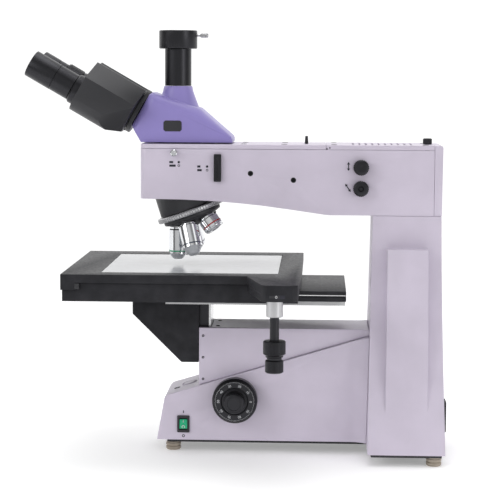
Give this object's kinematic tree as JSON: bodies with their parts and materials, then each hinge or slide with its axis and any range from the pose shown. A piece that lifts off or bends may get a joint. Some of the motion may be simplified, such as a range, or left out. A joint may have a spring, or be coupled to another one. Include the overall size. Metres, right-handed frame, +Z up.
{
  "type": "microscope",
  "caption": "Upright reflected-light microscope with trinocular head, objective turret and a large three-layer mechanical stage.",
  "frame": {"origin": "centre of the object's box on the table plane", "axes": "+X from the eyepieces towards the column, +Z up out of the camera port, +Y to the observer's left when looking into the eyepieces"},
  "size_m": [0.5138, 0.358, 0.5114],
  "materials": {
    "lilac_paint": "satin textured lilac-grey paint",
    "violet_paint": "satin violet paint",
    "black_paint": "semi-matt black paint",
    "black_anodised": "black anodised",
    "stage_grey": "dark grey anodised",
    "bright_chrome": "polished",
    "ground_steel": "ground",
    "foot_nickel": "knurled, nickel plated",
    "bare_aluminium": "plain",
    "gear_brass": "machined",
    "plate_glass": "polished pale plate",
    "green_lens": "translucent green",
    "black_plastic": "moulded"
  },
  "bodies": {
    "stand": {"base_housing": "lilac_paint", "base_plate": "black_paint", "foot_front_right": "foot_nickel", "foot_front_left": "foot_nickel", "foot_rear_right": "foot_nickel", "foot_rear_left": "foot_nickel", "column": "lilac_paint", "power_inlet": "black_plastic", "switch_bezel": "black_plastic", "focus_block": "lilac_paint", "arm_casting": "lilac_paint", "arm_front_cover": "lilac_paint", "arm_rear_cover": "lilac_paint", "arm_back_cover": "lilac_paint", "lamp_house": "bare_aluminium", "mirror_block": "black_anodised", "nosepiece_body": "black_paint"},
    "head": {"head_housing": "violet_paint", "binocular_hub": "black_paint", "photo_tube": "black_anodised", "camera_ring": "black_anodised"},
    "right_wing": {"prism_barrel_right": "black_paint", "eyetube_right": "black_anodised", "eyepiece_right": "black_anodised"},
    "left_wing": {"prism_barrel_left": "black_paint", "eyetube_left": "black_anodised", "eyepiece_left": "black_anodised"},
    "diopter": {"diopter_ring": "black_anodised"},
    "thumbscrew": {"port_thumbscrew": "black_anodised"},
    "turret": {"turret_ring": "ground_steel", "turret_dish": "black_paint", "objective_20x": "bright_chrome", "objective_50x": "bright_chrome", "objective_5x": "bright_chrome", "objective_10x": "bright_chrome", "seat_plug": "black_plastic"},
    "focus_carriage": {"focus_slide": "black_anodised", "slide_rail": "ground_steel", "focus_rack": "gear_brass", "stage_bracket": "stage_grey", "stage_bed": "stage_grey"},
    "coarse_drive": {"coarse_knob_right": "black_anodised", "coarse_knob_left": "black_anodised"},
    "fine_drive": {"fine_knob_right": "black_anodised", "fine_knob_left": "black_anodised"},
    "y_carriage": {"stage_guide": "stage_grey", "stage_rack": "ground_steel"},
    "x_carriage": {"stage_top": "stage_grey", "stage_glass": "plate_glass", "stage_frame": "stage_grey", "knob_sleeve": "bright_chrome"},
    "x_drive": {"x_knob": "black_anodised"},
    "y_drive": {"y_knob": "black_anodised"},
    "rocker": {"switch_rocker": "green_lens"},
    "analyser": {"analyser_rod": "bright_chrome"},
    "polariser": {"polariser_slider": "black_anodised"},
    "lamp_adjuster_upper": {"lamp_knob_upper": "black_anodised"},
    "lamp_adjuster_lower": {"lamp_knob_lower": "black_anodised"},
    "iris": {"iris_lever": "black_plastic"},
    "cover_fastener": {"cover_knob": "black_plastic"}
  },
  "joints": [
    {"name": "head_turn", "type": "hinge", "parent": "stand", "child": "head", "pos_m": [-0.0743, 0.044, 0.3769], "axis": [0, 0, 1], "continuous": true},
    {"name": "eye_spacing_right", "type": "hinge", "parent": "head", "child": "right_wing", "pos_m": [-0.1225, 0.044, 0.4134], "axis": [-0.866, 0, 0.5], "range_deg": [-20, 18]},
    {"name": "eye_spacing_left", "type": "hinge", "parent": "head", "child": "left_wing", "pos_m": [-0.1225, 0.044, 0.4134], "axis": [-0.866, 0, 0.5], "range_deg": [-18, 20]},
    {"name": "diopter_turn", "type": "hinge", "parent": "left_wing", "child": "diopter", "pos_m": [-0.1291, 0.077, 0.40197], "axis": [-0.866, 0, 0.5], "range_deg": [-120, 120]},
    {"name": "thumbscrew_turn", "type": "hinge", "parent": "head", "child": "thumbscrew", "pos_m": [-0.0743, 0.044, 0.5054], "axis": [1, 0, 0], "range_deg": [-720, 0]},
    {"name": "nosepiece_turn", "type": "hinge", "parent": "stand", "child": "turret", "pos_m": [-0.0743, 0.044, 0.3345], "axis": [0.342, 0, -0.9397], "continuous": true},
    {"name": "focus_lift", "type": "slide", "parent": "stand", "child": "focus_carriage", "axis": [0, 0, 1], "range_m": [-0.025, 0.004]},
    {"name": "coarse_turn", "type": "hinge", "parent": "stand", "child": "coarse_drive", "pos_m": [-0.0005, 0.044, 0.0675], "axis": [0, 1, 0], "range_deg": [-240, 39]},
    {"name": "fine_turn", "type": "hinge", "parent": "stand", "child": "fine_drive", "pos_m": [-0.0005, 0.044, 0.0675], "axis": [0, 1, 0], "continuous": true},
    {"name": "stage_y", "type": "slide", "parent": "focus_carriage", "child": "y_carriage", "axis": [0, 1, 0], "range_m": [-0.099, 0.104]},
    {"name": "stage_x", "type": "slide", "parent": "y_carriage", "child": "x_carriage", "axis": [1, 0, 0], "range_m": [-0.128, 0.076]},
    {"name": "x_knob_turn", "type": "hinge", "parent": "x_carriage", "child": "x_drive", "pos_m": [0.0495, -0.128, 0.2089], "axis": [0, 0, 1], "range_deg": [-1224, 727]},
    {"name": "y_knob_turn", "type": "hinge", "parent": "x_carriage", "child": "y_drive", "pos_m": [0.0495, -0.128, 0.2089], "axis": [0, 0, 1], "range_deg": [-947, 995]},
    {"name": "power_switch", "type": "hinge", "parent": "stand", "child": "rocker", "pos_m": [-0.0637, 0.003, 0.0352], "axis": [1, 0, 0], "range_deg": [0, 12]},
    {"name": "analyser_pull", "type": "slide", "parent": "stand", "child": "analyser", "axis": [0, -1, 0], "range_m": [0, 0.025]},
    {"name": "polariser_pull", "type": "slide", "parent": "stand", "child": "polariser", "axis": [0, -1, 0], "range_m": [0, 0.03]},
    {"name": "lamp_adjust_upper", "type": "hinge", "parent": "stand", "child": "lamp_adjuster_upper", "pos_m": [0.1484, 0, 0.3488], "axis": [0, -1, 0], "range_deg": [-180, 180]},
    {"name": "lamp_adjust_lower", "type": "hinge", "parent": "stand", "child": "lamp_adjuster_lower", "pos_m": [0.1484, 0, 0.3235], "axis": [0, -1, 0], "range_deg": [-180, 180]},
    {"name": "iris_swing", "type": "hinge", "parent": "stand", "child": "iris", "pos_m": [0.0827, 0.044, 0.34], "axis": [1, 0, 0], "range_deg": [-12, 12]},
    {"name": "cover_release", "type": "hinge", "parent": "stand", "child": "cover_fastener", "pos_m": [0.2295, 0.044, 0.375], "axis": [0, 0, 1], "range_deg": [0, 180]}
  ],
  "couplings": [
    {"joint": "eye_spacing_left", "follows": "eye_spacing_right", "ratio": -1},
    {"joint": "coarse_turn", "follows": "focus_lift", "rad_per_m": 166.67},
    {"joint": "x_knob_turn", "follows": "stage_x", "rad_per_m": 166.67},
    {"joint": "y_knob_turn", "follows": "stage_y", "rad_per_m": 166.67}
  ]
}
